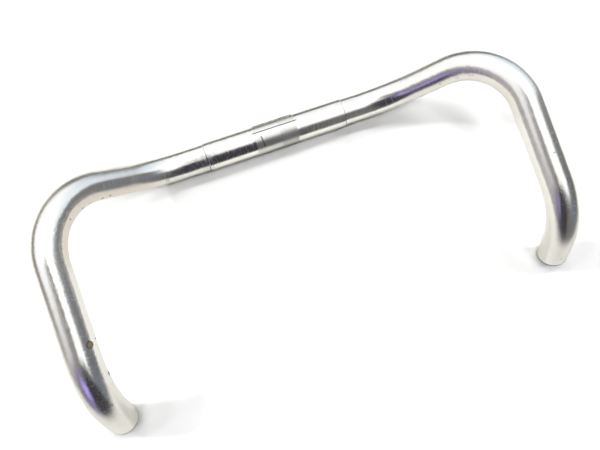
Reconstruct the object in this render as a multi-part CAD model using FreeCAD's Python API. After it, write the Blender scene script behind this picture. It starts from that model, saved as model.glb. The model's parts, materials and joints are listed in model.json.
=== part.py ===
import FreeCAD, Part
import math
import os

from FreeCAD import Placement, Rotation, Vector

# A bullhorn handlebar: one round aluminium tube, bent three times on each side, with a short
# sleeve pressed over its middle for the stem to clamp.
#
# The bar lies as it rests on a level floor: the clamp band and the rims of both open ends touch it.
# The origin is the centre of the stem clamp. +X runs along the clamp to the right end, +Z is up and
# the two horns reach towards -Y. The left half mirrors the right half in the plane X = 0.

# Driving dimensions, in millimetres and degrees

# The tube
tube_outer_diameter = 23.8
tube_wall = 1.9
end_deburr = 0.4

# The bending schedule of the right half, from the straight middle to the open end.
# A roll turns the bending plane about the tube, from the plane of the bend before it.
centre_run = 160.0
rise_angle = 42.0
rise_radius = 70.0
shoulder_run = 28.0
corner_roll_angle = 90.0
corner_angle = 88.0
corner_radius = 52.0
horn_run = 62.0
tip_roll_angle = 51.0
tip_angle = 51.0
tip_radius = 65.0
tip_run = 26.0

# The clamp sleeve: a plain wall with a slightly proud band in its middle, where the stem grips
sleeve_length = 126.0
sleeve_end_chamfer = 0.4
sleeve_wall_at_clamp = 0.8
clamp_band_length = 38.0
clamp_band_rise = 0.1
clamp_band_runout = 0.8

# Sizes that follow from these
tube_radius = tube_outer_diameter / 2
bore_radius = tube_radius - tube_wall
clamp_radius = tube_radius + sleeve_wall_at_clamp
sleeve_radius = clamp_radius - clamp_band_rise

# Search for the angle at which the bar lies
steepest_lie_angle = 60.0
lie_search_steps = 50

# Directions of a frame that travels along the tube: its X is the tube's own line, and a bend
# turns that line towards its Z
ALONG = Vector(1, 0, 0)
TOWARDS = Vector(0, 0, 1)
HINGE = Vector(0, -1, 0)
ORIGIN = Vector(0, 0, 0)


def roll(here, angle):
    """The frame turned about the tube, which sets the plane of the next bend."""
    return here.multiply(Placement(ORIGIN, Rotation(ALONG, angle)))


def after_run(here, length):
    """The frame at the far end of a straight stretch."""
    return here.multiply(Placement(ALONG * length, Rotation()))


def after_bend(here, turn, radius):
    """The frame at the far end of a bend."""
    return here.multiply(Placement(ORIGIN, Rotation(HINGE, turn), TOWARDS * radius))


def tube_section(here):
    """The tube's cross-section, a flat ring square to its line."""
    rims = [Part.makeCircle(radius, ORIGIN, ALONG) for radius in (tube_radius, bore_radius)]
    outer, inner = [Part.Face(Part.Wire(rim)) for rim in rims]
    ring = outer.cut(inner).Faces[0]
    ring.Placement = here.multiply(ring.Placement)
    return ring


def straight_tube(here, length):
    return tube_section(here).extrude(here.Rotation.multVec(ALONG * length))


def bent_tube(here, turn, radius):
    centre = here.multVec(TOWARDS * radius)
    hinge = here.Rotation.multVec(HINGE)
    return tube_section(here).revolve(centre, hinge, turn)


def right_half_frames(lie):
    """The frames at the start of each bend and run of the right half, and at the open end."""
    frames = {}
    frames["rise"] = after_run(roll(Placement(), lie), centre_run / 2)
    frames["shoulder"] = after_bend(frames["rise"], rise_angle, rise_radius)
    frames["corner"] = roll(after_run(frames["shoulder"], shoulder_run), corner_roll_angle)
    frames["horn"] = after_bend(frames["corner"], corner_angle, corner_radius)
    frames["tip_bend"] = roll(after_run(frames["horn"], horn_run), tip_roll_angle)
    frames["tip"] = after_bend(frames["tip_bend"], tip_angle, tip_radius)
    frames["mouth"] = after_run(frames["tip"], tip_run)
    return frames


def lowest_rim_height(lie):
    """Height of the lowest point of an open end's deburred rim, when the bar is turned by lie."""
    mouth = right_half_frames(lie)["mouth"]
    slope = mouth.Rotation.multVec(ALONG).z
    flat = math.sqrt(1 - slope ** 2)
    face_rim = (tube_radius - end_deburr) * flat
    side_rim = tube_radius * flat - end_deburr * abs(slope)
    return mouth.Base.z - max(face_rim, side_rim)


def resting_lie():
    """The turn about the clamp at which the open ends come down to the floor under the clamp band."""
    low = -steepest_lie_angle
    high = steepest_lie_angle
    for _ in range(lie_search_steps):
        middle = (low + high) / 2
        if lowest_rim_height(middle) > -clamp_radius:
            low = middle
        else:
            high = middle
    return (low + high) / 2


def deburred_end(frames):
    """The last straight stretch, cut square, with the sharp edges of its mouth taken off."""
    end = straight_tube(frames["tip"], tip_run)
    mouth = frames["mouth"].Base
    rims = [
        edge
        for edge in end.Edges
        if isinstance(edge.Curve, Part.Circle) and edge.Curve.Center.isEqual(mouth, tube_wall / 2)
    ]
    return end.makeChamfer(end_deburr, rims)


def make_handlebar_tube():
    """The whole tube as one solid: straight middle, then rise, shoulder, corner, horn and tip."""
    frames = right_half_frames(resting_lie())
    middle = straight_tube(Placement(ALONG * (-centre_run / 2), Rotation()), centre_run)
    right_half = [
        bent_tube(frames["rise"], rise_angle, rise_radius),
        straight_tube(frames["shoulder"], shoulder_run),
        bent_tube(frames["corner"], corner_angle, corner_radius),
        straight_tube(frames["horn"], horn_run),
        bent_tube(frames["tip_bend"], tip_angle, tip_radius),
        deburred_end(frames),
    ]
    left_half = [piece.mirror(ORIGIN, ALONG) for piece in right_half]
    return middle.multiFuse(right_half + left_half).removeSplitter().Solids[0]


def make_clamp_sleeve():
    """The sleeve turned as one profile about the clamp's axis, its bore fitting the tube."""
    end = sleeve_length / 2
    foot = clamp_band_length / 2 + clamp_band_runout
    crest = clamp_band_length / 2
    right_side = [
        (crest, clamp_radius),
        (foot, sleeve_radius),
        (end - sleeve_end_chamfer, sleeve_radius),
        (end, sleeve_radius - sleeve_end_chamfer),
        (end, tube_radius),
    ]
    left_side = [(-along, radius) for along, radius in reversed(right_side)]
    profile = [Vector(along, 0, radius) for along, radius in left_side + right_side]
    section = Part.Face(Part.makePolygon(profile + profile[:1]))
    return section.revolve(ORIGIN, ALONG, 360)


os.makedirs("parts", exist_ok=True)
pieces = {
    "handlebar_tube": make_handlebar_tube(),
    "clamp_sleeve": make_clamp_sleeve(),
}
for name, shape in pieces.items():
    shape.exportStep("parts/" + name + ".step")
    box = shape.BoundBox
    print(name, "valid", shape.isValid(), "solids", len(shape.Solids), "volume", round(shape.Volume, 1))
    print("  spans", round(box.XLength, 2), round(box.YLength, 2), round(box.ZLength, 2))
mouth = right_half_frames(resting_lie())["mouth"]
print("turned about the clamp by", round(resting_lie(), 3), "degrees to lie on the floor")
print("right open end at", mouth.Base, "facing", mouth.Rotation.multVec(ALONG))
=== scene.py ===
# %% [markdown]
# # A bullhorn handlebar
# One aluminium tube is bent three times on each side, and a short sleeve is pressed over its middle
# for the stem to clamp. The metal is polished, so almost all of its look comes from what it mirrors:
# the lesson makes the two pieces first, then their finishes, and then the room that they reflect.
# The CAD model gives the frame. The pieces made here lie exactly on it, with finer surfaces.

# %% Load the frame
import json
import math

import bmesh
import bpy
from mathutils import Matrix, Vector


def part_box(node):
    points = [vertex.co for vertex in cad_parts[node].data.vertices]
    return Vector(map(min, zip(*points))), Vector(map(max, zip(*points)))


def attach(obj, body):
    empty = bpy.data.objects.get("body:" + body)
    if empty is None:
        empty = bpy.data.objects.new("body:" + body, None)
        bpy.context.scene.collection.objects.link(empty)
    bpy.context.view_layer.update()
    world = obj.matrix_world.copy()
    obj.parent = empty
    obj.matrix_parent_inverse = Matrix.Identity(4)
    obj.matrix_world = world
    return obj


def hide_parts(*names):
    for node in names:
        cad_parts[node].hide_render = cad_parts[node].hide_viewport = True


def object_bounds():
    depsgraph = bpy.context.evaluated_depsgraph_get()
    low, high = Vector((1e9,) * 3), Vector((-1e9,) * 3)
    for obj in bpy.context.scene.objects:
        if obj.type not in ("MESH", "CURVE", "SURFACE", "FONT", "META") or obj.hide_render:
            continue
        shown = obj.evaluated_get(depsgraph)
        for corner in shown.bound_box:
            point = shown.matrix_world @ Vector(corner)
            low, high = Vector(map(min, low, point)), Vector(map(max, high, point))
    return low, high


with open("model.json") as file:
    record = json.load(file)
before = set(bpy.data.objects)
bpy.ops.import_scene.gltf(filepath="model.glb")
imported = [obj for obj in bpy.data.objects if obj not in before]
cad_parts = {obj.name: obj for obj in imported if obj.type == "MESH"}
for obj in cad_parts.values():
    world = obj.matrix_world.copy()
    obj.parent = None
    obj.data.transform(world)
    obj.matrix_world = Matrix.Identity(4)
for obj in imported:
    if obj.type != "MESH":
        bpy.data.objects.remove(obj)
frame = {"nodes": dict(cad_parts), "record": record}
cad_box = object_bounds()
MM = 0.001
mounts = {mount["name"]: mount for mount in frame["record"]["mounts"]}
clamp = mounts["stem_clamp"]
bar_end = mounts["bar_end_right"]
print("CAD nodes:", sorted(frame["nodes"]))

# %% [markdown]
# ## Sizes
# The clamp and bore diameters come from the frame, where they are mounts in the record; the tube's
# outer diameter is given here. The bending schedule is how such a bar is drawn in a workshop: straight
# runs, and bends with an angle, a radius and a roll, which is the direction that the bend takes round
# the tube. Zero roll is straight up.

# %% Sizes of the tube
TUBE_RADIUS = 11.9 * MM
BORE_RADIUS = bar_end["dims"]["r_mm"] * MM
WALL = TUBE_RADIUS - BORE_RADIUS
DEBURR = 0.4 * MM
RUNS = {"middle": 80 * MM, "shoulder": 28 * MM, "horn": 62 * MM, "tip": 26 * MM}
BENDS = {
    "rise": {"angle": 42, "radius": 70 * MM, "roll": 0},
    "corner": {"angle": 88, "radius": 52 * MM, "roll": 90},
    "tip": {"angle": 51, "radius": 65 * MM, "roll": 141},
}
STEPS = ["middle", ("rise",), "shoulder", ("corner",), "horn", ("tip",), "tip"]
ARC_STEP = math.radians(1.5)
TUBE_SIDES = 128
print("wall", round(WALL / MM, 2), "mm")

# %% Sizes of the sleeve
SLEEVE_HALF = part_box("clamp_sleeve")[1].x
CLAMP_RADIUS = clamp["dims"]["r_mm"] * MM
BAND_HALF = clamp["dims"]["length_mm"] / 2 * MM
BAND_RISE = 0.1 * MM
BAND_RUNOUT = 0.8 * MM
SLEEVE_CHAMFER = 0.4 * MM
print("sleeve", round(2 * SLEEVE_HALF / MM, 2), "mm long, clamped at", 2 * CLAMP_RADIUS / MM)

# %% [markdown]
# ## The centre line
# A small frame of axes walks along the tube. Its X axis is the tube's own direction, and its Z axis
# marks "up" on the tube and is carried along without twisting. A run moves the frame forward, and
# a bend turns it about a hinge beside the tube. The points that it leaves behind are the centre line.
# The same walk answers a second question that is needed for wear marks: where is the spot that lies
# so far along the tube and so far round it?

# %% Walk along the right half
def turn_about(here, angle, radius, roll):
    """The frame after part of a bend."""
    tilt = Matrix.Rotation(math.radians(roll), 4, "X")
    hinge = Matrix.Translation((0, 0, radius))
    swing = Matrix.Rotation(-angle, 4, "Y")
    return here @ tilt @ hinge @ swing @ hinge.inverted() @ tilt.inverted()


def walk(lie):
    """[(distance from the middle, frame)] along the right half of the bar, turned by lie about X."""
    here = Matrix.Rotation(lie, 4, "X")
    gone = 0.0
    stations = [(gone, here)]
    for step in STEPS:
        if isinstance(step, str):
            here = here @ Matrix.Translation((RUNS[step], 0, 0))
            gone += RUNS[step]
            stations.append((gone, here))
            continue
        bend = BENDS[step[0]]
        whole = math.radians(bend["angle"])
        parts = math.ceil(whole / ARC_STEP)
        for part in range(1, parts + 1):
            angle = whole * part / parts
            there = turn_about(here, angle, bend["radius"], bend["roll"])
            stations.append((gone + angle * bend["radius"], there))
        here = there
        gone += whole * bend["radius"]
    return stations


def facing(station_frame):
    return station_frame.to_3x3() @ Vector((1, 0, 0))


# %% Turn the bar to where it lies
flat_way = facing(walk(0.0)[-1][1])
packed_way = Vector(bar_end["axis"])
lie = math.atan2(packed_way.z, packed_way.y) - math.atan2(flat_way.z, flat_way.y)
stations = walk(lie)
half_length = stations[-1][0]
mouth = stations[-1][1].translation
seat_gap = (Vector(bar_end["pos_m"]) - mouth).length / MM
print("lies at", round(math.degrees(lie), 2), "degrees")
print("the end mount is", round(seat_gap, 2), "mm inside the mouth")


# %% Find a spot on the tube
def on_tube(along, around, radius=TUBE_RADIUS):
    """The point at this distance from the middle, negative on the left, and this many degrees round."""
    reach = abs(along)
    after = next(i for i, (gone, _) in enumerate(stations) if gone >= reach)
    before = max(after - 1, 0)
    gone, here = stations[before]
    ahead = here @ Matrix.Translation((reach - gone, 0, 0))
    angle = math.radians(around)
    spot = ahead @ Vector((0, -math.sin(angle) * radius, math.cos(angle) * radius))
    if along < 0:
        spot.x = -spot.x
    return spot


print("top of the middle:", [round(v / MM, 2) for v in on_tube(0, 0)])

# %% [markdown]
# ## Helpers for node trees
# Both kinds of node tree, for shapes and for finishes, are built with the same few helpers. The first
# adds a node and sets or links its inputs. The others use it for sums, vectors, noise, smooth ranges
# and mixed colours, and the last starts an empty group with named sockets.


# %% Node helpers
def put(tree, kind, inputs=(), **settings):
    """A new node with its settings, and its inputs set or linked, given as {name or index: value}."""
    node = tree.nodes.new(kind)
    for name, value in settings.items():
        setattr(node, name, value)
    for key, value in dict(inputs).items():
        if isinstance(value, bpy.types.NodeSocket):
            tree.links.new(value, node.inputs[key])
        else:
            node.inputs[key].default_value = value
    return node


def sums(tree, operation, *values, clamp_result=False):
    """A Math node's result."""
    node = put(tree, "ShaderNodeMath", dict(enumerate(values)), operation=operation)
    node.use_clamp = clamp_result
    return node.outputs[0]


def times(tree, *values):
    """Several values multiplied."""
    result = values[0]
    for value in values[1:]:
        result = sums(tree, "MULTIPLY", result, value)
    return result


def per(tree, size, share=1.0):
    """The scale at which a texture's features have this size."""
    return sums(tree, "DIVIDE", share, size)


def vectors(tree, operation, *values):
    """A Vector Math node's result, which is a number for a length, a distance or a dot product."""
    node = put(tree, "ShaderNodeVectorMath", dict(enumerate(values)), operation=operation)
    return node.outputs["Value" if operation in ("LENGTH", "DISTANCE", "DOT_PRODUCT") else "Vector"]


def scaled(tree, vector, factor):
    """A vector made longer or shorter."""
    return put(tree, "ShaderNodeVectorMath", {0: vector, "Scale": factor}, operation="SCALE").outputs[0]


def split(tree, vector):
    """A vector's three parts."""
    return put(tree, "ShaderNodeSeparateXYZ", {0: vector}).outputs


def joined(tree, x, y, z):
    """A vector made of three parts."""
    return put(tree, "ShaderNodeCombineXYZ", {0: x, 1: y, 2: z}).outputs[0]


def noise(tree, place, scale=1.0, detail=2.0, **more):
    """A Noise Texture's value, which wanders about 0.5."""
    inputs = {"Vector": place, "Scale": scale, "Detail": detail, **more}
    return put(tree, "ShaderNodeTexNoise", inputs).outputs[0]


def smooth_range(tree, value, low, high, to_low=0.0, to_high=1.0):
    """Goes smoothly from to_low to to_high as the value goes from low to high."""
    names = {"Value": value, "From Min": low, "From Max": high, "To Min": to_low, "To Max": to_high}
    return put(tree, "ShaderNodeMapRange", names, interpolation_type="SMOOTHSTEP").outputs[0]


def blend_of(tree, factor, first, second):
    """A colour between two colours."""
    return put(tree, "ShaderNodeMix", {0: factor, 6: first, 7: second}, data_type="RGBA").outputs[2]


def layered(tree, colour, layers):
    """A colour with others laid over it one after the other, given as [(mask, colour)]."""
    for mask, layer in layers:
        colour = blend_of(tree, mask, colour, layer)
    return colour


def new_tree(name, kind, inputs, outputs):
    """An empty node group with named sockets. Returns the tree, what it is given and what it puts out."""
    tree = bpy.data.node_groups.new(name, kind)
    for socket, (socket_kind, default) in inputs.items():
        made = tree.interface.new_socket(name=socket, in_out="INPUT", socket_type=socket_kind)
        if default is not None:
            made.default_value = default
    for socket, socket_kind in outputs.items():
        tree.interface.new_socket(name=socket, in_out="OUTPUT", socket_type=socket_kind)
    return tree, tree.nodes.new("NodeGroupInput").outputs, tree.nodes.new("NodeGroupOutput").inputs


FLOAT = "NodeSocketFloat"
VECTOR = "NodeSocketVector"
GEOMETRY = "NodeSocketGeometry"

# %% [markdown]
# ## Finishes that both pieces share
# Small shader groups make the marks of use. Most take a position and give back a mask between
# 0 and 1, and each material decides what the mask does to its colour, roughness and bump.
# Hairlines are the contour lines of a stretched noise, so they are long, thin and never cross a grid.
# Grain is the fine pitting that leaves polished aluminium grey where it mirrors a dark wall.
# A spot is a ragged blot about a point, and a ring is a turned line round the bar. Scuffs are short
# strokes round the front of the bar, crowded about one place. The brushed normal leans the surface a
# little to and fro round the bar only, which frays the edges of what it mirrors as polishing does.
# Several groups read the place as if the bar were unrolled: two axes across, and the third along it.


# %% Shader group: hairlines
def build_hairlines():
    tree, given, out = new_tree(
        "hairlines", "ShaderNodeTree",
        {"Position": (VECTOR, None), "Stretch": (VECTOR, (1, 1, 1)), "Width": (FLOAT, 0.02),
         "Share": (FLOAT, 0.5)},
        {"Mask": FLOAT},
    )
    stretched = vectors(tree, "MULTIPLY", given["Position"], given["Stretch"])
    lines = noise(tree, stretched, detail=3.0)
    away = sums(tree, "ABSOLUTE", sums(tree, "SUBTRACT", lines, 0.5))
    thin = smooth_range(tree, away, given["Width"], 0.0)
    patches = noise(tree, stretched, 0.37, detail=1.0)
    kept = sums(tree, "LESS_THAN", patches, given["Share"])
    tree.links.new(times(tree, thin, kept), out["Mask"])
    return tree


hairlines = build_hairlines()
print("group", hairlines.name)


# %% Shader group: grain
def build_grain():
    tree, given, out = new_tree(
        "grain", "ShaderNodeTree",
        {"Position": (VECTOR, None), "Size": (FLOAT, 0.4 * MM), "Patch Size": (FLOAT, 20 * MM)},
        {"Mask": FLOAT, "Patches": FLOAT},
    )
    fine = noise(tree, given["Position"], per(tree, given["Size"]), Roughness=0.7)
    broad = noise(tree, given["Position"], per(tree, given["Patch Size"]))
    tree.links.new(smooth_range(tree, fine, 0.42, 0.68), out["Mask"])
    tree.links.new(smooth_range(tree, broad, 0.35, 0.65), out["Patches"])
    return tree


grain = build_grain()
print("group", grain.name)


# %% Shader group: spot
def build_spot():
    tree, given, out = new_tree(
        "spot", "ShaderNodeTree",
        {"Position": (VECTOR, None), "Centre": (VECTOR, (0, 0, 0)), "Radius": (FLOAT, 1 * MM),
         "Ragged": (FLOAT, 0.5)},
        {"Mask": FLOAT, "Rim": FLOAT},
    )
    wobble = noise(tree, given["Position"], per(tree, given["Radius"], 0.9))
    away = vectors(tree, "DISTANCE", given["Position"], given["Centre"])
    share = sums(tree, "DIVIDE", away, given["Radius"])
    ragged = times(tree, sums(tree, "SUBTRACT", wobble, 0.5), given["Ragged"])
    bent = sums(tree, "ADD", share, times(tree, ragged, 2.0))
    tree.links.new(smooth_range(tree, bent, 1.0, 0.8), out["Mask"])
    rim = times(tree, smooth_range(tree, bent, 0.6, 0.85), smooth_range(tree, bent, 1.1, 0.9))
    tree.links.new(rim, out["Rim"])
    return tree


spot = build_spot()
print("group", spot.name)


# %% Shader group: turned ring
def build_ring():
    tree, given, out = new_tree(
        "ring", "ShaderNodeTree",
        {"Position": (VECTOR, None), "Place": (FLOAT, 0.0), "Width": (FLOAT, 0.3 * MM),
         "Share": (FLOAT, 0.5)},
        {"Mask": FLOAT},
    )
    axes = split(tree, given["Position"])
    drift = noise(tree, given["Position"], 90.0)
    place = sums(tree, "ADD", given["Place"], times(tree, drift, given["Width"]))
    away = sums(tree, "ABSOLUTE", sums(tree, "SUBTRACT", axes[0], place))
    line = smooth_range(tree, away, given["Width"], 0.0)
    seen = noise(tree, given["Position"], 160.0)
    kept = smooth_range(tree, seen, sums(tree, "SUBTRACT", 1.0, given["Share"]), 1.0, 0.0, 2.0)
    tree.links.new(sums(tree, "MULTIPLY", line, kept, clamp_result=True), out["Mask"])
    return tree


ring = build_ring()
print("group", ring.name)


# %% Shader group: brushed normal
STREAK_STRETCH = (90, 90, 1500)


def build_brushed():
    tree, given, out = new_tree(
        "brushed_normal", "ShaderNodeTree",
        {"Normal": (VECTOR, None), "Along": (VECTOR, (1, 0, 0)), "Unrolled": (VECTOR, None),
         "Streaks": (FLOAT, 0.03), "Grain": (FLOAT, 0.05), "Grain Size": (FLOAT, 0.8 * MM)},
        {"Normal": VECTOR},
    )
    streaks = noise(tree, vectors(tree, "MULTIPLY", given["Unrolled"], STREAK_STRETCH))
    grains = noise(tree, given["Unrolled"], per(tree, given["Grain Size"]), detail=1.0)
    streak_lean = times(tree, sums(tree, "SUBTRACT", streaks, 0.5), given["Streaks"])
    grain_lean = times(tree, sums(tree, "SUBTRACT", grains, 0.5), given["Grain"])
    lean = sums(tree, "ADD", streak_lean, grain_lean)
    around = vectors(tree, "CROSS_PRODUCT", given["Normal"], given["Along"])
    tilted = vectors(tree, "ADD", given["Normal"], scaled(tree, around, lean))
    tree.links.new(vectors(tree, "NORMALIZE", tilted), out["Normal"])
    return tree


brushed = build_brushed()
print("group", brushed.name)


# %% Shader group: scuffs round the bar
SCUFF_STRETCH = (150, 150, 3300)


def build_scuffs():
    tree, given, out = new_tree(
        "scuffs", "ShaderNodeTree",
        {"Unrolled": (VECTOR, None), "Place": (FLOAT, 0.0), "Reach": (FLOAT, 10 * MM),
         "Density": (FLOAT, 0.5)},
        {"Mask": FLOAT},
    )
    axes = split(tree, given["Unrolled"])
    away = sums(tree, "ABSOLUTE", sums(tree, "SUBTRACT", axes[2], given["Place"]))
    zone = smooth_range(tree, away, given["Reach"], 0.0)
    strokes = noise(tree, vectors(tree, "MULTIPLY", given["Unrolled"], SCUFF_STRETCH))
    crowd = times(tree, zone, given["Density"], 0.36)
    level = sums(tree, "SUBTRACT", 0.74, crowd)
    mask = smooth_range(tree, sums(tree, "SUBTRACT", strokes, level), 0.0, 0.08)
    front = smooth_range(tree, axes[0], 1.5 * MM, -2.5 * MM)
    tree.links.new(times(tree, mask, front, smooth_range(tree, zone, 0.0, 0.2)), out["Mask"])
    return tree


scuffs = build_scuffs()
print("group", scuffs.name)


# %% Place a group in a material
def placed(tree, group, output="Mask", **inputs):
    """One output of a shader group placed in a material, with its inputs set by name."""
    named = {name.replace("_", " "): value for name, value in inputs.items()}
    return put(tree, "ShaderNodeGroup", named, node_tree=group).outputs[output]


def largest(tree, masks):
    """The strongest of several masks at each place."""
    result = masks[0]
    for mask in masks[1:]:
        result = sums(tree, "MAXIMUM", result, mask)
    return result


# %% [markdown]
# ## The polished tube's finish
# Polished aluminium is a bright, slightly warm mirror that never quite closes: drawing and buffing
# leave lines along the tube, and years of handling leave pits, ticks and a few stains. The lines have
# to follow the bends, so they read the attribute "straight", which holds each point's place on the
# tube as if it had never been bent. The marks seen in one place each are spots at that place. The
# sides of the corners that face the space between the horns are a darker, sandy tone.

# %% Where the tube is marked: millimetres along, degrees round and millimetres across
DARK_SPECKS = [
    (-295.2, 46, 1.4), (-322.5, 51, 3.1), (-341.8, -3, 1.3), (-238.2, 12, 1.3), (-202.8, 36, 1.5),
    (-185.6, 62, 1.8), (-161.3, 72, 1.8), (-155.3, 64, 1.7), (-176.0, 66, 1.1), (155.3, 52, 1.1),
    (183.6, 41, 1.0), (186.6, 40, 1.0), (374.0, -30, 1.2), (281.2, -36, 1.2), (-330.0, 38, 0.9),
]
STAINS = [(-102.1, 59, 3.4), (171.4, 46, 3.2)]
CHIP = (-297.4, 13, 5.2)
CHIP_RAGGED = 0.3
# A darker, sandy tone on the corners' sides that face a point between the horns.
DARKER_FROM = (95 * MM, 130 * MM)
DARKER_TO = (262 * MM, 225 * MM)
DARKER_SHARES = (1.0, 0.45)
INNER_POINT = Vector((0, -0.12, -0.02))
FACING_INNER_POINT = (0.45, 0.75)
# The last stretch before each mouth is painted dark: partly dirt on the rim, partly painted shadow where
# the mouth touches the floor.
MOUTH_DIRT_AND_SHADOW = (half_length - 2.0 * MM, half_length - 1.2 * MM)
print(len(DARK_SPECKS), "specks,", len(STAINS), "stains and one chip")

# %% Colours of the tube
TUBE_CLEAN = (0.90, 0.90, 0.885, 1)
TUBE_GREYED = (0.80, 0.80, 0.79, 1)
SANDY = (0.70, 0.65, 0.60, 1)
SCRATCHED = (0.42, 0.41, 0.40, 1)
# The mouth's colour is partly dirt and partly painted contact shadow.
RIM_DIRT_AND_SHADOW = (0.11, 0.09, 0.08, 1)
STAINED = (0.32, 0.28, 0.2, 1)
CHIPPED = (0.34, 0.27, 0.15, 1)
CHIP_EDGE = (0.10, 0.08, 0.05, 1)
SPECKLED = (0.05, 0.045, 0.04, 1)
TUBE_ROUGHNESS = (0.19, 0.34)
TUBE_STRETCH = 0.75
BUMP = {"Strength": 0.35, "Distance": 0.03 * MM}
print("polished roughness", TUBE_ROUGHNESS[0], "and worn", TUBE_ROUGHNESS[1])


# %% Polished tube material
def polished_base(name):
    material = bpy.data.materials.new(name)
    material.use_nodes = True
    tree = material.node_tree
    shader = tree.nodes["Principled BSDF"]
    shader.inputs["Metallic"].default_value = 1.0
    return material, tree, shader


def spots(tree, place, marks, output="Mask", ragged=0.5):
    """One mask for several spots, given as [(millimetres along, degrees round, millimetres across)]."""
    return largest(tree, [
        placed(tree, spot, output, Position=place, Centre=on_tube(along * MM, around),
               Radius=across / 2 * MM, Ragged=ragged)
        for along, around, across in marks
    ])


def build_tube_finish():
    material, tree, shader = polished_base("polished_tube")
    place = put(tree, "ShaderNodeTexCoord").outputs["Object"]
    straight = put(tree, "ShaderNodeAttribute", attribute_name="straight").outputs["Vector"]

    draw_lines = placed(tree, hairlines, Position=straight, Stretch=(2600, 2600, 26), Width=0.03,
                        Share=0.62)
    cross_ticks = placed(tree, hairlines, Position=straight, Stretch=(90, 90, 1900), Width=0.012,
                         Share=0.36)
    pits = placed(tree, grain, Position=straight, Size=0.5 * MM)
    patches = placed(tree, grain, "Patches", Position=straight)

    specks = spots(tree, place, DARK_SPECKS)
    stains = spots(tree, place, STAINS, "Rim")
    chip = spots(tree, place, [CHIP], ragged=CHIP_RAGGED)
    chip_rim = spots(tree, place, [CHIP], "Rim", ragged=CHIP_RAGGED)
    axes = split(tree, place)
    unrolled = joined(tree, axes[1], axes[2], axes[0])
    scuffed = placed(tree, scuffs, Unrolled=unrolled, Place=-SLEEVE_HALF - 3 * MM, Reach=20 * MM,
                     Density=0.8)

    # Darker, sandy tone on the sides near the corners that face a point between the horns.
    towards = vectors(tree, "NORMALIZE", vectors(tree, "SUBTRACT", INNER_POINT, place))
    surface = put(tree, "ShaderNodeNewGeometry").outputs["Normal"]
    turned = vectors(tree, "DOT_PRODUCT", surface, towards)
    travelled = split(tree, straight)[2]
    far = sums(tree, "ABSOLUTE", travelled)
    share = smooth_range(tree, travelled, -50 * MM, 50 * MM, *DARKER_SHARES)
    window = times(tree, smooth_range(tree, far, *DARKER_FROM), smooth_range(tree, far, *DARKER_TO))
    inside = times(tree, window, smooth_range(tree, turned, *FACING_INNER_POINT), share)

    darker_inside = times(tree, inside, smooth_range(tree, pits, 0.0, 1.0, 0.8, 1.15))
    # Painted contact shadow and dirt round each mouth.
    rim = smooth_range(tree, far, *MOUTH_DIRT_AND_SHADOW)
    colour = layered(tree, TUBE_CLEAN, [
        (times(tree, pits, patches), TUBE_GREYED), (darker_inside, SANDY),
        (times(tree, scuffed, 0.45), SCRATCHED), (rim, RIM_DIRT_AND_SHADOW), (stains, STAINED), (chip, CHIPPED),
        (chip_rim, CHIP_EDGE), (specks, SPECKLED),
    ])
    tree.links.new(colour, shader.inputs["Base Color"])

    dirt = largest(tree, [chip, specks])
    tree.links.new(smooth_range(tree, dirt, 0.0, 1.0, 1.0, 0.05), shader.inputs["Metallic"])
    worn = largest(tree, [times(tree, draw_lines, 0.5), cross_ticks, times(tree, pits, patches, 0.6)])
    polish = smooth_range(tree, worn, 0.0, 1.0, *TUBE_ROUGHNESS)
    dull = largest(tree, [times(tree, dirt, 0.4), times(tree, scuffed, 0.16)])
    tree.links.new(sums(tree, "ADD", polish, dull), shader.inputs["Roughness"])
    along = put(tree, "ShaderNodeAttribute", attribute_name="along").outputs["Vector"]
    shader.inputs["Anisotropic"].default_value = TUBE_STRETCH
    tree.links.new(along, shader.inputs["Tangent"])

    lines_deep = times(tree, sums(tree, "ADD", draw_lines, cross_ticks), 0.3)
    deep = sums(tree, "ADD", times(tree, pits, 0.22), lines_deep)
    height = sums(tree, "SUBTRACT", times(tree, dirt, 0.6), deep)
    frayed = placed(tree, brushed, "Normal", Normal=surface, Along=along, Unrolled=straight, Streaks=0.06,
                    Grain=0.26, Grain_Size=1.0 * MM)
    bump = put(tree, "ShaderNodeBump", {"Height": height, "Normal": frayed, **BUMP})
    tree.links.new(bump.outputs[0], shader.inputs["Normal"])
    return material


tube_finish = build_tube_finish()
print("finish", tube_finish.name, "with", len(tube_finish.node_tree.nodes), "nodes")

# %% [markdown]
# ## The sleeve's finish
# The sleeve is the same metal, but it has been turned, clamped and slid about: its scratches run
# round it. The middle band is knurled, and every stem that gripped it has rubbed it a little
# differently, so it shows as rings of slightly different grey. That grey is laid on mostly at the
# front of the band: there it is partly the rubbed knurl and partly a painted reflection of the dim
# room that the front faces. A thin line is scribed along the band, to set the bar's angle by, and
# dirt has stayed in the knurl behind it and where the sleeve ends on the tube.

# %% Places on the sleeve
SCRIBE_ANGLE = math.radians(8)
SCRIBE_HALF = 20.5 * MM
SCRIBE_WIDTH = 0.75 * MM
TICK_PLACE = -13.0 * MM
TICK_WIDTH = 1.6 * MM
TICK_ANGLES = (-58, -8)
BEHIND_ANGLES = (26, 38)
LOWER_ANGLES = (70, 100)
# Painted reflection: the band's grey is weighted to this front side, which faces the dim room.
SHADED_FRONT_ANGLES = (-10, -40)
WORN_ANGLES = (-52, -30)
WORN_PLACES = (-14 * MM, -24 * MM)
END_DIRT_ANGLES = (-2, -22)
END_DIRT_PLACES = (SLEEVE_HALF - 0.8 * MM, SLEEVE_HALF - 0.3 * MM)
TURNED_RINGS = [(-62.4, 0.5, 0.62), (-60.6, 0.25, 0.5), (-58.9, 0.2, 0.42), (-41.0, 0.2, 0.35),
                (33.0, 0.15, 0.3), (62.5, 0.4, 0.6)]
RUBBED_RINGS = [(-19.6, 0.0), (-18.8, 0.45), (-14.0, 0.5), (-8.0, 0.55), (3.2, 0.6), (3.8, 0.95),
                (17.5, 1.0), (19.3, 0.0)]
RUBBED_HALF = 21
print(len(TURNED_RINGS), "turned rings, and a scribed line", SCRIBE_WIDTH / MM, "mm wide")

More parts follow.
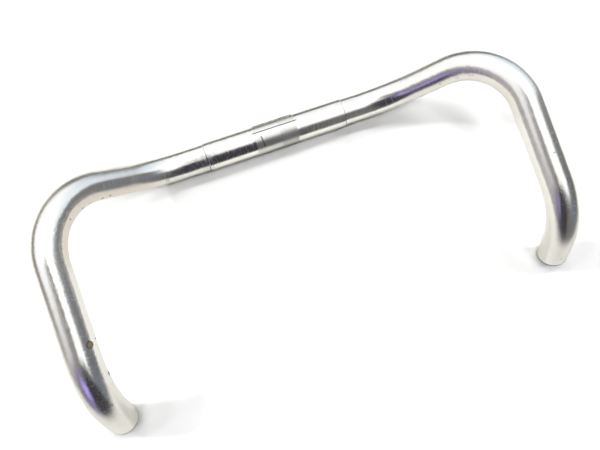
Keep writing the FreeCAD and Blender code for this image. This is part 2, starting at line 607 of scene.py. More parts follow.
# %% Colours of the sleeve
SLEEVE_CLEAN = (0.89, 0.885, 0.865, 1)
SLEEVE_GREYED = (0.76, 0.755, 0.74, 1)
# Partly the rubbed knurl's grey, partly a painted reflection of the dim room in front.
MATTE_AND_SHADE = (0.53, 0.54, 0.51, 1)
BEHIND_LINE = (0.62, 0.60, 0.53, 1)
PACKED_DIRT = (0.11, 0.10, 0.085, 1)
BLACKENED = (0.03, 0.027, 0.025, 1)
SLEEVE_ROUGHNESS = (0.18, 0.36)
SLEEVE_STRETCH = 0.6
print("turned roughness", SLEEVE_ROUGHNESS[0], "and worn", SLEEVE_ROUGHNESS[1])


# %% Sleeve material
def smooth_angle(tree, angle, low, high, to_low=0.0, to_high=1.0):
    """The same as smooth_range, for an angle and two limits in degrees."""
    return smooth_range(tree, angle, math.radians(low), math.radians(high), to_low, to_high)


def build_sleeve_finish():
    material, tree, shader = polished_base("sleeve_metal")
    place = put(tree, "ShaderNodeTexCoord").outputs["Object"]
    axes = split(tree, place)
    along = axes[0]
    from_middle = sums(tree, "ABSOLUTE", along)
    unrolled = joined(tree, axes[1], axes[2], along)

    across_band = put(tree, "ShaderNodeMapRange", {
        "Value": along, "From Min": -RUBBED_HALF * MM, "From Max": RUBBED_HALF * MM,
    }).outputs[0]
    ramp = put(tree, "ShaderNodeValToRGB", {0: across_band})
    stops = ramp.color_ramp.elements
    stops[-1].color = (0, 0, 0, 1)
    for at, matte in RUBBED_RINGS:
        stops.new((at / RUBBED_HALF + 1) / 2).color = (matte, matte, matte, 1)
    band = ramp.outputs[0]

    round_lines = placed(tree, hairlines, Position=place, Stretch=(2400, 60, 60), Width=0.02, Share=0.5)
    long_lines = placed(tree, hairlines, Position=place, Stretch=(45, 1900, 1900), Width=0.015,
                        Share=0.42)
    pits = placed(tree, grain, Position=place, Size=0.45 * MM, Patch_Size=9 * MM)
    patches = placed(tree, grain, "Patches", Position=place, Patch_Size=9 * MM)
    rings = largest(tree, [
        placed(tree, ring, Position=place, Place=at * MM, Width=width * MM, Share=share)
        for at, width, share in TURNED_RINGS
    ])

    angle = sums(tree, "ARCTAN2", axes[1], axes[2])
    turned_off = sums(tree, "ABSOLUTE", sums(tree, "SUBTRACT", angle, SCRIBE_ANGLE))
    off_scribe = times(tree, turned_off, CLAMP_RADIUS)
    scribe = times(tree, smooth_range(tree, off_scribe, SCRIBE_WIDTH * 0.62, SCRIBE_WIDTH * 0.4),
                   smooth_range(tree, from_middle, SCRIBE_HALF, SCRIBE_HALF - 0.5 * MM))
    behind = times(tree, smooth_angle(tree, angle, *BEHIND_ANGLES),
                   smooth_range(tree, from_middle, BAND_HALF, BAND_HALF - 2 * MM))
    lower = smooth_angle(tree, angle, *LOWER_ANGLES, 1.0, 0.45)
    crumbs = placed(tree, grain, Position=place, Size=1.6 * MM)
    caught = smooth_range(tree, crumbs, 0.10, 0.45)
    packed_dirt = times(tree, behind, lower, caught)
    tick_drift = times(tree, sums(tree, "ADD", angle, 0.5), 1.5 * MM)
    drifted = sums(tree, "ADD", along, tick_drift)
    off_tick = sums(tree, "ABSOLUTE", sums(tree, "SUBTRACT", drifted, TICK_PLACE))
    tick_low, tick_high = [math.radians(degrees) for degrees in TICK_ANGLES]
    tick_window = times(tree, smooth_range(tree, angle, tick_low, tick_low + 0.1),
                        smooth_range(tree, angle, tick_high, tick_high - 0.1))
    tick_share = smooth_range(tree, crumbs, 1.0, 0.0, 0.7, 1.0)
    tick_line = smooth_range(tree, off_tick, TICK_WIDTH / 2, 0.2 * MM)
    tick = times(tree, tick_line, tick_window, tick_share)
    scuffed = placed(tree, scuffs, Unrolled=unrolled, Place=-SLEEVE_HALF, Reach=13 * MM, Density=0.9)
    worn_left = times(tree, smooth_range(tree, along, *WORN_PLACES),
                      smooth_angle(tree, angle, *WORN_ANGLES))
    end_dirt = times(tree, smooth_range(tree, from_middle, *END_DIRT_PLACES),
                     smooth_angle(tree, angle, *END_DIRT_ANGLES))

    # Painted reflection: the band's grey is strongest on the front, which faces the dim room.
    front_shade = smooth_angle(tree, angle, *SHADED_FRONT_ANGLES, 0.1, 1.0)
    band_grey_and_shade = times(tree, band, front_shade)
    rubbed = times(tree, largest(tree, [rings, scuffed]), 0.5)
    black = largest(tree, [scribe, tick, end_dirt])
    colour = layered(tree, SLEEVE_CLEAN, [
        (times(tree, pits, patches), SLEEVE_GREYED), (band_grey_and_shade, MATTE_AND_SHADE), (behind, BEHIND_LINE),
        (packed_dirt, PACKED_DIRT), (rubbed, SCRATCHED), (black, BLACKENED),
    ])
    tree.links.new(colour, shader.inputs["Base Color"])

    dirt = largest(tree, [black, times(tree, packed_dirt, 0.8), times(tree, band_grey_and_shade, 0.25)])
    tree.links.new(sums(tree, "SUBTRACT", 1.0, dirt), shader.inputs["Metallic"])
    worn = largest(tree, [times(tree, round_lines, 0.7), times(tree, long_lines, 0.5),
                          rings])
    polished = smooth_range(tree, worn, 0.0, 1.0, *SLEEVE_ROUGHNESS)
    dull = largest(tree, [times(tree, band, 0.22), times(tree, scuffed, 0.2),
                          times(tree, tick, 0.4)])
    tree.links.new(sums(tree, "ADD", polished, dull), shader.inputs["Roughness"])
    shader.inputs["Anisotropic"].default_value = SLEEVE_STRETCH
    along_bar = joined(tree, 1.0, 0.0, 0.0)
    tree.links.new(along_bar, shader.inputs["Tangent"])

    cuts = largest(tree, [round_lines, long_lines, rings, times(tree, pits, 0.5)])
    height = times(tree, cuts, -1.0)
    surface = put(tree, "ShaderNodeNewGeometry").outputs["Normal"]
    streaks = smooth_range(tree, worn_left, 0.0, 1.0, 0.03, 0.22)
    frayed = placed(tree, brushed, "Normal", Normal=surface, Along=along_bar, Unrolled=unrolled,
                    Streaks=streaks, Grain=0.05)
    bump = put(tree, "ShaderNodeBump", {"Height": height, "Normal": frayed, **BUMP})
    tree.links.new(bump.outputs[0], shader.inputs["Normal"])
    return material


sleeve_finish = build_sleeve_finish()
print("finish", sleeve_finish.name, "with", len(sleeve_finish.node_tree.nodes), "nodes")

# %% [markdown]
# ## The tube
# A shape that follows a path is a job for Geometry Nodes: the centre line is a curve, and one small
# tree sweeps a circle along it. On the way it stores each point's place on the unbent tube, for the
# finish. The sweep is a skin with no thickness. A Solidify modifier then gives it the real wall,
# inwards, and a Bevel takes the sharp edges off the two sawn ends.


# %% The centre line as a curve
def add_object(name, data):
    """A new object in the scene."""
    made = bpy.data.objects.new(name, data)
    bpy.context.scene.collection.objects.link(made)
    return made


def make_centre_line():
    right = [here.translation for _, here in stations]
    left = [Vector((-p.x, p.y, p.z)) for p in reversed(right[1:])]
    points = left + right[1:]
    data = bpy.data.curves.new("centre_line", "CURVE")
    data.dimensions = "3D"
    line = data.splines.new("POLY")
    line.points.add(len(points) - 1)
    for control, point in zip(line.points, points):
        control.co = (*point, 1)
    made = add_object("centre_line", data)
    print("centre line:", len(points), "points,", round(2 * half_length / MM, 1), "mm of tube")
    return made


centre_line = make_centre_line()


# %% Geometry Nodes: sweep a circle along the line
def build_sweep():
    tree, given, out = new_tree(
        "sweep_tube", "GeometryNodeTree",
        {"Geometry": (GEOMETRY, None), "Radius": (FLOAT, 0.01), "Sides": ("NodeSocketInt", 64),
         "Half Length": (FLOAT, 0.3), "Finish": ("NodeSocketMaterial", None)},
        {"Geometry": GEOMETRY},
    )
    travelled = put(tree, "GeometryNodeCaptureAttribute", {0: given["Geometry"]}, domain="POINT")
    travelled.capture_items.new("FLOAT", "Travelled")
    travelled.capture_items.new("VECTOR", "Direction")
    tree.links.new(put(tree, "GeometryNodeSplineParameter").outputs["Length"], travelled.inputs[1])
    tree.links.new(put(tree, "GeometryNodeInputTangent").outputs[0], travelled.inputs[2])
    circle = put(tree, "GeometryNodeCurvePrimitiveCircle",
                 {"Resolution": given["Sides"], "Radius": given["Radius"]})
    round_it = put(tree, "GeometryNodeCaptureAttribute", {0: circle.outputs[0]}, domain="POINT")
    round_it.capture_items.new("VECTOR", "Round")
    tree.links.new(put(tree, "GeometryNodeInputPosition").outputs[0], round_it.inputs[1])
    swept = put(tree, "GeometryNodeCurveToMesh",
                {"Curve": travelled.outputs[0], "Profile Curve": round_it.outputs[0]})
    across = split(tree, round_it.outputs[1])
    from_middle = sums(tree, "SUBTRACT", travelled.outputs[1], given["Half Length"])
    place = joined(tree, across[0], across[1], from_middle)
    stored = put(tree, "GeometryNodeStoreNamedAttribute",
                 data_type="FLOAT_VECTOR", domain="POINT",
                 inputs={"Geometry": swept.outputs[0], "Name": "straight"})
    tree.links.new(place, stored.inputs["Value"])
    pointed = put(tree, "GeometryNodeStoreNamedAttribute",
                  data_type="FLOAT_VECTOR", domain="POINT",
                  inputs={"Geometry": stored.outputs[0], "Name": "along"})
    tree.links.new(travelled.outputs[2], pointed.inputs["Value"])
    shaded = put(tree, "GeometryNodeSetShadeSmooth", {0: pointed.outputs[0]})
    real = put(tree, "GeometryNodeRealizeInstances", {0: shaded.outputs[0]})
    finished = put(tree, "GeometryNodeSetMaterial",
                   {"Geometry": real.outputs[0], "Material": given["Finish"]})
    tree.links.new(finished.outputs[0], out["Geometry"])
    return tree


sweep = build_sweep()
print("tree", sweep.name)


# %% Run a tree and keep its result as a plain mesh
SAME_POINT = 0.001 * MM


def grown(source, tree, name, **values):
    """A new mesh object made by running a Geometry Nodes tree on an object, which is then removed."""
    modifier = source.modifiers.new(tree.name, "NODES")
    modifier.node_group = tree
    sockets = {item.name: item.identifier for item in tree.interface.items_tree if item.in_out == "INPUT"}
    for key, value in values.items():
        modifier[sockets[key.replace("_", " ")]] = value
    bpy.context.view_layer.update()
    ready = source.evaluated_get(bpy.context.evaluated_depsgraph_get())
    mesh = bpy.data.meshes.new_from_object(ready)
    mesh.name = name
    source.modifiers.remove(modifier)
    made = add_object(name, mesh)
    bpy.data.objects.remove(source)
    return made


def applied(piece):
    """The same object with its modifiers turned into its mesh."""
    bpy.context.view_layer.update()
    ready = piece.evaluated_get(bpy.context.evaluated_depsgraph_get())
    mesh = bpy.data.meshes.new_from_object(ready)
    mesh.name = piece.name
    piece.modifiers.clear()
    piece.data = mesh
    return piece


def face_outwards(piece):
    """Merges doubles and turns every face outwards."""
    work = bmesh.new()
    work.from_mesh(piece.data)
    bmesh.ops.remove_doubles(work, verts=work.verts, dist=SAME_POINT)
    bmesh.ops.recalc_face_normals(work, faces=work.faces)
    volume = work.calc_volume(signed=True)
    work.to_mesh(piece.data)
    work.free()
    return volume


# %% Make the tube
BEVEL_FROM = math.radians(60)
TUBE_SHARP_FROM = math.radians(35)


def make_tube():
    tube = grown(centre_line, sweep, "handlebar_tube_polished", Radius=TUBE_RADIUS, Sides=TUBE_SIDES,
                 Half_Length=half_length, Finish=tube_finish)
    outward = tube.data.polygons[0]
    left_points = [Vector((-here.translation.x, *here.translation.yz)) for _, here in stations]
    nearest = min(left_points, key=lambda point: (point - outward.center).length)
    if outward.normal.dot(outward.center - nearest) < 0:
        tube.data.flip_normals()
    wall = tube.modifiers.new("wall", "SOLIDIFY")
    wall.thickness = WALL
    wall.offset = -1
    edges = tube.modifiers.new("deburr", "BEVEL")
    edges.width = DEBURR
    edges.segments = 1
    edges.limit_method = "ANGLE"
    edges.angle_limit = BEVEL_FROM
    applied(tube)
    tube.data.set_sharp_from_angle(angle=TUBE_SHARP_FROM)
    return tube


tube = make_tube()
tube_volume = face_outwards(tube)
print(tube.name, len(tube.data.polygons), "faces; encloses", round(tube_volume * 1e6, 1), "cubic cm")

# %% [markdown]
# ## The clamp sleeve
# The sleeve is turned, so its rings of points stand on a list of places along the axis, each with a
# radius. The knurl is a pattern that repeats thousands of times, so a Geometry Nodes tree presses it
# in: two families of slanting grooves cross, and what stands between them are small diamonds with
# their tops rubbed flat. The scribed line is pressed in by the same tree.

# %% Knurl sizes
KNURL_TEETH = 72
POINTS_PER_TOOTH = 4
KNURL_PITCH = 2 * math.pi * CLAMP_RADIUS / KNURL_TEETH
KNURL_DEPTH = 0.03 * MM
GROOVE_STEEPNESS = 3.2
SCRIBE_DEPTH = 0.25 * MM
print("knurl pitch", round(KNURL_PITCH / MM, 2), "mm")


# %% Geometry Nodes: press the knurl
def build_knurl():
    tree, given, out = new_tree(
        "press_knurl", "GeometryNodeTree",
        {"Geometry": (GEOMETRY, None), "Teeth": (FLOAT, 72.0), "Pitch": (FLOAT, 0.001),
         "Depth": (FLOAT, 0.0001), "Band Half": (FLOAT, 0.02), "Inner Radius": (FLOAT, 0.01),
         "Scribe Angle": (FLOAT, 0.0), "Scribe Width": (FLOAT, 0.0005), "Scribe Half": (FLOAT, 0.02),
         "Scribe Depth": (FLOAT, 0.0002),
         "Finish": ("NodeSocketMaterial", None)},
        {"Geometry": GEOMETRY},
    )
    place = put(tree, "GeometryNodeInputPosition").outputs[0]
    axes = split(tree, place)
    angle = sums(tree, "ARCTAN2", axes[1], axes[2])
    turns = times(tree, sums(tree, "DIVIDE", angle, 2 * math.pi), given["Teeth"])
    steps = sums(tree, "DIVIDE", axes[0], given["Pitch"])
    right_hand = sums(tree, "PINGPONG", sums(tree, "ADD", turns, steps), 0.5)
    left_hand = sums(tree, "PINGPONG", sums(tree, "SUBTRACT", turns, steps), 0.5)
    groove = sums(tree, "MULTIPLY", sums(tree, "MINIMUM", right_hand, left_hand), GROOVE_STEEPNESS,
                  clamp_result=True)
    from_middle = sums(tree, "ABSOLUTE", axes[0])
    in_band = sums(tree, "LESS_THAN", from_middle, sums(tree, "ADD", given["Band Half"], 1e-6))
    cut = times(tree, sums(tree, "SUBTRACT", 1.0, groove), given["Depth"], in_band)

    radial = joined(tree, 0.0, axes[1], axes[2])
    out_radius = vectors(tree, "LENGTH", radial)
    turned_off = sums(tree, "ABSOLUTE", sums(tree, "SUBTRACT", angle, given["Scribe Angle"]))
    off_line = times(tree, turned_off, out_radius)
    half_width = sums(tree, "DIVIDE", given["Scribe Width"], 2)
    on_line = times(tree, sums(tree, "LESS_THAN", off_line, half_width),
                    sums(tree, "LESS_THAN", from_middle, given["Scribe Half"]))
    deep = sums(tree, "MAXIMUM", cut, times(tree, on_line, given["Scribe Depth"]))
    outside = sums(tree, "GREATER_THAN", out_radius, given["Inner Radius"])
    outward = vectors(tree, "NORMALIZE", radial)
    inward = scaled(tree, outward, times(tree, deep, outside, -1.0))
    pressed = put(tree, "GeometryNodeSetPosition",
                  {"Geometry": given["Geometry"], "Offset": inward})
    real = put(tree, "GeometryNodeRealizeInstances", {0: pressed.outputs[0]})
    finished = put(tree, "GeometryNodeSetMaterial",
                   {"Geometry": real.outputs[0], "Material": given["Finish"]})
    tree.links.new(finished.outputs[0], out["Geometry"])
    return tree


knurl = build_knurl()
print("tree", knurl.name)


# %% Turn the sleeve
SLEEVE_SHARP_FROM = math.radians(30)


def sleeve_profile():
    """[(place along the axis, radius)] once round the wall: over the outside from the left, and back."""
    plain = CLAMP_RADIUS - BAND_RISE
    foot = BAND_HALF + BAND_RUNOUT
    step = KNURL_PITCH / POINTS_PER_TOOTH
    rows = round(BAND_HALF / step)
    outside = [(-SLEEVE_HALF, plain - SLEEVE_CHAMFER), (-SLEEVE_HALF + SLEEVE_CHAMFER, plain)]
    outside += [(-foot - 1 * MM, plain), (-foot, plain)]
    outside += [(row * BAND_HALF / rows, CLAMP_RADIUS) for row in range(-rows, rows + 1)]
    outside += [(foot, plain), (foot + 1 * MM, plain)]
    outside += [(SLEEVE_HALF - SLEEVE_CHAMFER, plain), (SLEEVE_HALF, plain - SLEEVE_CHAMFER)]
    return outside + [(SLEEVE_HALF, TUBE_RADIUS), (-SLEEVE_HALF, TUBE_RADIUS)]


def make_sleeve():
    profile = sleeve_profile()
    around = KNURL_TEETH * POINTS_PER_TOOTH
    points = []
    for place, radius in profile:
        for part in range(around):
            angle = 2 * math.pi * part / around
            points.append((place, math.sin(angle) * radius, math.cos(angle) * radius))
    faces = []
    for row in range(len(profile)):
        following = (row + 1) % len(profile)
        for part in range(around):
            beside = (part + 1) % around
            faces.append((row * around + part, following * around + part,
                          following * around + beside, row * around + beside))
    mesh = bpy.data.meshes.new("sleeve_blank")
    mesh.from_pydata(points, [], faces)
    sizes = {"Teeth": float(KNURL_TEETH), "Pitch": KNURL_PITCH, "Depth": KNURL_DEPTH,
             "Band_Half": BAND_HALF, "Inner_Radius": TUBE_RADIUS + 0.1 * MM, "Scribe_Angle": SCRIBE_ANGLE,
             "Scribe_Width": SCRIBE_WIDTH, "Scribe_Half": SCRIBE_HALF, "Scribe_Depth": SCRIBE_DEPTH}
    sleeve = grown(add_object("sleeve_blank", mesh), knurl, "clamp_sleeve_knurled", **sizes,
                   Finish=sleeve_finish)
    volume = face_outwards(sleeve)
    sleeve.data.shade_smooth()
    sleeve.data.set_sharp_from_angle(angle=SLEEVE_SHARP_FROM)
    print(sleeve.name, len(sleeve.data.polygons), "faces; encloses", round(volume * 1e6, 2), "cubic cm")
    return sleeve


sleeve = make_sleeve()

# %% [markdown]
# ## Hang the pieces on the frame
# Each piece rides on the frame's one body and stands for its CAD node, which is hidden.

# %% Ride and replace
PIECES = [(tube, "handlebar_tube", "polished_tube"), (sleeve, "clamp_sleeve", "sleeve_metal")]
for piece, node, slot in PIECES:
    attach(piece, "root")
    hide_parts(node)
print("pieces on the frame:", tube.name, sleeve.name)

# %% [markdown]
# ## The floor
# The bar lies on a plain pale sheet that is white in the picture and keeps the bar's shadow. More
# light would spoil the metal, so the gain is in the sheet: to the camera its white is pushed past 1,
# in reflections it is a warm white that fades outwards, and to light that bounces off it, it is an
# ordinary pale floor.
# The sheet is coated. Where the metal mirrors it at a grazing angle, the coat shines and shows the
# dim room instead of the white.

# %% Floor sizes
FLOOR_Z = cad_box[0][2]
FLOOR_LOW = (-0.46, -0.38)
FLOOR_HIGH = (0.50, 0.32)
FLOOR_WHITE = (0.80, 0.80, 0.795, 1)
SEEN_WHITE = (1.36, 1.36, 1.355, 1)
MIRRORED_NEAR = (1.12, 1.105, 1.03, 1)
MIRRORED_FAR = (0.95, 0.92, 0.84, 1)
NEAR_REACH = 0.14
FAR_REACH = 0.42
SHEEN = (0.62, 0.90)


# %% Make the floor
def bare_material(name):
    """A material with no nodes in it yet."""
    material = bpy.data.materials.new(name)
    material.use_nodes = True
    material.node_tree.nodes.clear()
    return material


def build_floor_finish():
    material = bare_material("pale_floor")
    tree = material.node_tree
    rays = put(tree, "ShaderNodeLightPath")
    place = put(tree, "ShaderNodeTexCoord").outputs["Object"]
    reach = vectors(tree, "DISTANCE", place, (0, 0, FLOOR_Z))
    faded = smooth_range(tree, reach, NEAR_REACH, FAR_REACH)
    mirrored = blend_of(tree, faded, MIRRORED_NEAR, MIRRORED_FAR)
    seen = largest(tree, [rays.outputs["Is Camera Ray"], rays.outputs["Is Transmission Ray"]])
    colour = blend_of(tree, rays.outputs["Is Glossy Ray"], FLOOR_WHITE, mirrored)
    colour = blend_of(tree, seen, colour, SEEN_WHITE)
    matte = put(tree, "ShaderNodeBsdfDiffuse", {"Color": colour})
    sheen = put(tree, "ShaderNodeBsdfGlossy", {"Roughness": 0.2})
    grazing = smooth_range(tree, put(tree, "ShaderNodeLayerWeight").outputs["Facing"], *SHEEN)
    shine = times(tree, grazing, rays.outputs["Is Glossy Ray"])
    both = put(tree, "ShaderNodeMixShader", {0: shine, 1: matte.outputs[0], 2: sheen.outputs[0]})
    put(tree, "ShaderNodeOutputMaterial", {"Surface": both.outputs[0]})
    return material


def make_floor():
    (x0, y0), (x1, y1) = FLOOR_LOW, FLOOR_HIGH
    mesh = bpy.data.meshes.new("floor")
    corners = [(x0, y0, FLOOR_Z), (x1, y0, FLOOR_Z), (x1, y1, FLOOR_Z), (x0, y1, FLOOR_Z)]
    mesh.from_pydata(corners, [], [(0, 1, 2, 3)])
    floor = add_object("floor", mesh)
    mesh.materials.append(build_floor_finish())
    return floor


floor = make_floor()
print("floor at", round(FLOOR_Z / MM, 2), "mm")

# %% [markdown]
# ## The room in the reflections
# A mirror needs something to mirror. Here it is one world shader that is read by direction: white
# above, and from the horizon up to a certain height the room's own tone. Two colour ramps run once
# round the horizon. One says how high the room reaches in each direction, and the other says which
# tone it has there: dim in front, and only a thin grey line at the back, behind the sheet. Low on the
# right the white is pale blue, as beside a window, and a violet lamp glows on the left of the dim side.
# Only reflections see this room. Everything else gets a trace of plain white light from the world,
# and the camera sees plain white.

# %% Round the horizon, in degrees: 0 is away from the viewer, 90 is right, -90 is left
ROOM_HEIGHT = [
    (-180, 68), (-150, 60), (-125, 56), (-112, 54), (-105, 46), (-98, 24), (-88, 17), (-70, 13), (-30, 11),
    (-12, 15), (10, 17), (24, 13), (60, 13), (80, 18), (92, 44), (104, 54), (122, 46), (150, 42),
    (168, 60), (180, 68),
]
ROOM_TONE = [
    (-180, (0.17, 0.16, 0.155)), (-165, (0.13, 0.12, 0.135)), (-150, (0.135, 0.12, 0.165)),
    (-132, (0.21, 0.19, 0.25)), (-114, (0.36, 0.33, 0.345)), (-99, (0.60, 0.56, 0.55)),
    (-86, (0.30, 0.275, 0.25)), (-30, (0.33, 0.31, 0.28)), (-4, (0.20, 0.19, 0.18)),
    (12, (0.16, 0.16, 0.16)), (36, (0.20, 0.205, 0.21)), (60, (0.45, 0.49, 0.53)),
    (78, (0.42, 0.42, 0.42)), (94, (0.18, 0.18, 0.18)), (112, (0.16, 0.165, 0.175)),
    (128, (0.19, 0.21, 0.25)), (146, (0.18, 0.19, 0.20)), (165, (0.17, 0.165, 0.155)),
    (180, (0.17, 0.16, 0.155)),
]
ROOM_HIGH_TONE = (0.36, 0.34, 0.32, 1)
ROOM_HIGH = (35, 68)
ROOM_WHITE = (1.15, 1.15, 1.14, 1)
ROOM_ZENITH = (1.40, 1.40, 1.39, 1)
ZENITH_FROM = (35, 70)
PALE_BLUE = (0.83, 0.91, 0.98, 1)
PALE_LEFT = (5, 45)
PALE_RIGHT = (112, 65)
PALE_BELOW = (58, 24)
ROOM_EDGE = 8.0
FLOOR_LINE = -13.0
VIOLET = (0.60, 0.48, 1.15, 1)
VIOLET_HALO = (0.15, 0.12, 0.25, 1)
VIOLET_AZIMUTH = -141
VIOLET_HEIGHT = 22
VIOLET_SPREAD = 17
HALO_SPREAD = 28
SOFT_LIGHT = 0.03


# %% Build the world
def direction_of(azimuth, height):
    a, h = math.radians(azimuth), math.radians(height)
    return (math.cos(h) * math.sin(a), math.cos(h) * math.cos(a), math.sin(h))


def horizon_ramp(tree, azimuth, stops):
    """A colour ramp that runs once round the horizon, with its stops given in degrees."""
    ramp = put(tree, "ShaderNodeValToRGB", {0: azimuth})
    elements = ramp.color_ramp.elements
    elements[0].color = stops[0][1]
    elements[-1].color = stops[-1][1]
    for degrees, colour in stops[1:-1]:
        elements.new(degrees / 360 + 0.5).color = colour
    return ramp.outputs[0]


def build_world():
    world = bpy.data.worlds.new("room")
    bpy.context.scene.world = world
    world.use_nodes = True
    tree = world.node_tree
    tree.nodes.clear()
    way = put(tree, "ShaderNodeTexCoord").outputs["Generated"]
    axes = split(tree, way)
    turn = sums(tree, "ARCTAN2", axes[0], axes[1])
    azimuth = sums(tree, "ADD", sums(tree, "DIVIDE", turn, 2 * math.pi), 0.5)
    height = times(tree, sums(tree, "ARCSINE", axes[2]), 180 / math.pi)

    tone = horizon_ramp(tree, azimuth, [(at, (*colour, 1)) for at, colour in ROOM_TONE])
    grey_tops = [(at, (top / 90, top / 90, top / 90, 1)) for at, top in ROOM_HEIGHT]
    tops = horizon_ramp(tree, azimuth, grey_tops)
    above = sums(tree, "SUBTRACT", height, times(tree, tops, 90.0))
    tone = blend_of(tree, smooth_range(tree, height, *ROOM_HIGH), tone, ROOM_HIGH_TONE)
    sky = blend_of(tree, smooth_range(tree, height, *ZENITH_FROM), ROOM_WHITE, ROOM_ZENITH)
    degrees = times(tree, turn, 180 / math.pi)
    pale = times(tree, smooth_range(tree, degrees, *PALE_LEFT), smooth_range(tree, degrees, *PALE_RIGHT),
                 smooth_range(tree, height, *PALE_BELOW))
    sky = blend_of(tree, pale, sky, PALE_BLUE)
    room = blend_of(tree, smooth_range(tree, above, -ROOM_EDGE, ROOM_EDGE), tone, sky)
    beneath = smooth_range(tree, height, FLOOR_LINE, FLOOR_LINE - ROOM_EDGE)
    room = blend_of(tree, beneath, room, ROOM_WHITE)
    towards = vectors(tree, "DOT_PRODUCT", way, direction_of(VIOLET_AZIMUTH, VIOLET_HEIGHT))
    halo = smooth_range(tree, towards, math.cos(math.radians(HALO_SPREAD)), 1.0)
    glow = smooth_range(tree, towards, math.cos(math.radians(VIOLET_SPREAD)), 1.0)
    room = blend_of(tree, halo, room, VIOLET_HALO)
    room = blend_of(tree, glow, room, VIOLET)

    rays = put(tree, "ShaderNodeLightPath")
    mirrored = put(tree, "ShaderNodeBackground", {"Color": room, "Strength": 1.0})
    soft = put(tree, "ShaderNodeBackground", {"Color": (1, 1, 1, 1), "Strength": SOFT_LIGHT})
    seen = put(tree, "ShaderNodeBackground", {"Color": (1, 1, 1, 1), "Strength": 1.0})
    lit = put(tree, "ShaderNodeMixShader",
              {0: rays.outputs["Is Glossy Ray"], 1: soft.outputs[0], 2: mirrored.outputs[0]})
    clear = largest(tree, [rays.outputs["Is Camera Ray"], rays.outputs["Is Transmission Ray"]])
    both = put(tree, "ShaderNodeMixShader", {0: clear, 1: lit.outputs[0], 2: seen.outputs[0]})
    put(tree, "ShaderNodeOutputWorld", {"Surface": both.outputs[0]})
    return world


room = build_world()
print("world", room.name, "with", len(room.node_tree.nodes), "nodes")

# %% [markdown]
# ## Two things that stand close
# The far room looks the same from both ends of the bar, but things close by don't: each end mirrors
# them in another place. A dark curved card leans over the table in front, and a grey one hangs
# overhead on the left, where a shelf would be. Only reflections see these two cards.

# %% Make the cards
DARK_SIDES = (-0.42, 0.15)
DARK_TONE = (0.045, 0.043, 0.050, 1)
DARK_LEAN = [(-0.75, -0.60), (-0.75, 0.10), (-0.73, 0.50), (-0.67, 0.80), (-0.60, 0.98)]
GREY_TONE = (0.27, 0.25, 0.23, 1)
GREY_CORNERS = [(-0.12, -0.47, 1.7), (-0.35, -0.01, 1.7), (-1.60, -0.45, 1.7), (-1.20, -1.60, 1.7)]


def make_card(name, points, faces, tone):
    """A sheet of one even tone that only reflections see."""
    material = bare_material(name)
    tree = material.node_tree
    even = put(tree, "ShaderNodeEmission", {"Color": tone, "Strength": 1.0})
    put(tree, "ShaderNodeOutputMaterial", {"Surface": even.outputs[0]})
    mesh = bpy.data.meshes.new(name)
    mesh.from_pydata(points, [], faces)
    mesh.materials.append(material)
    card = add_object(name, mesh)
    for ray in ("camera", "diffuse", "transmission", "shadow", "volume_scatter"):
        setattr(card, "visible_" + ray, False)
    return card


dark_points = [(x, y, z) for y, z in DARK_LEAN for x in DARK_SIDES]
dark_faces = [(2 * row, 2 * row + 1, 2 * row + 3, 2 * row + 2) for row in range(len(DARK_LEAN) - 1)]
dark_card = make_card("dark_card", dark_points, dark_faces, DARK_TONE)
grey_card = make_card("grey_card", GREY_CORNERS, [(0, 1, 2, 3)], GREY_TONE)
print("cards:", dark_card.name, grey_card.name)

# %% [markdown]
# ## Lamps
# A workshop has many small lamps under its ceiling. Where the bar hides most of them at once, the
# sheet gets a dark shadow, and where it hides only one or two, the sheet stays white. The places
# and shares were worked out from the shadow in the photograph: how dark each spot of it is tells which
# lamps the bar hides from there. Each share is the part of the sheet's light that the lamp gives,
# and its power follows from its distance.

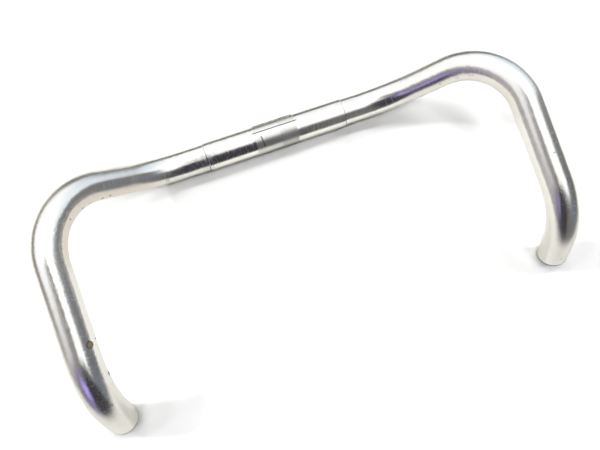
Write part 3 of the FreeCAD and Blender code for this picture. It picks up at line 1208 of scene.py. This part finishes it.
# %% Lamps: name, place, size and share of the light
LAMP_HEIGHT = 2.0
LAMPS = [
    ("front_left", (-0.72, -0.40), (0.40, 0.20), 0.091),
    ("front_right", (0.59, -0.40), (0.40, 0.20), 0.119),
    ("near_left", (-1.28, -0.10), (0.30, 0.30), 0.041),
    ("far_right", (3.00, -0.10), (0.20, 0.80), 0.057),
    ("middle", (0.10, 0.82), (0.60, 0.15), 0.099),
    ("middle_right", (1.12, 0.80), (0.50, 0.15), 0.084),
    ("right", (1.80, 0.62), (0.60, 0.15), 0.105),
    ("behind_middle", (-0.20, 1.20), (0.15, 0.15), 0.039),
    ("behind_left", (-1.06, 1.00), (0.35, 0.15), 0.067),
    ("far_behind", (-0.94, 2.00), (0.30, 0.15), 0.035),
    ("left", (-1.72, 1.60), (0.70, 0.15), 0.106),
    ("left_end", (-2.60, 1.60), (0.40, 0.20), 0.029),
    ("left_corner", (-3.00, 1.80), (0.30, 0.30), 0.109),
    ("left_wall", (-3.00, 0.80), (0.20, 0.40), 0.019),
]
LAMP_LIGHT = 0.93


def make_lamp(name, place, size, share):
    """A lamp that faces straight down and gives the sheet this share of the lamps' light."""
    above = LAMP_HEIGHT - FLOOR_Z
    away = math.hypot(*place, above)
    data = bpy.data.lights.new(name, "AREA")
    data.shape = "RECTANGLE"
    data.size, data.size_y = size
    data.energy = share * LAMP_LIGHT * math.pi**2 * away**4 / above**2
    lamp = add_object(name, data)
    lamp.location = (*place, LAMP_HEIGHT)
    lamp.visible_glossy = False
    return lamp


lamps = [make_lamp(*lamp) for lamp in LAMPS]
print("lamps:", {lamp.name: round(lamp.data.energy) for lamp in lamps})

# %% [markdown]
# ## The camera
# The photograph was taken by hand from about 40 cm above the bar, leaning over it, a little to the
# left of its middle and turned, so the bar runs uphill to the right. The place, the turn and the lens
# were found by fitting the bar's outline.

# %% Camera
CAMERA_PLACE = (-52.757 * MM, -149.813 * MM, 399.96 * MM)
CAMERA_TURN = (10.969, -2.794, -20.334)
LENS = 28.758
SENSOR = 36
NEAREST_SEEN = 0.01
camera_data = bpy.data.cameras.new("camera")
camera_data.lens = LENS
camera_data.sensor_width = SENSOR
camera_data.clip_start = NEAREST_SEEN
camera = add_object("camera", camera_data)
camera.location = CAMERA_PLACE
camera.rotation_euler = [math.radians(angle) for angle in CAMERA_TURN]
bpy.context.scene.camera = camera
bpy.context.scene.view_settings.view_transform = "Standard"
print("camera at", CAMERA_PLACE)
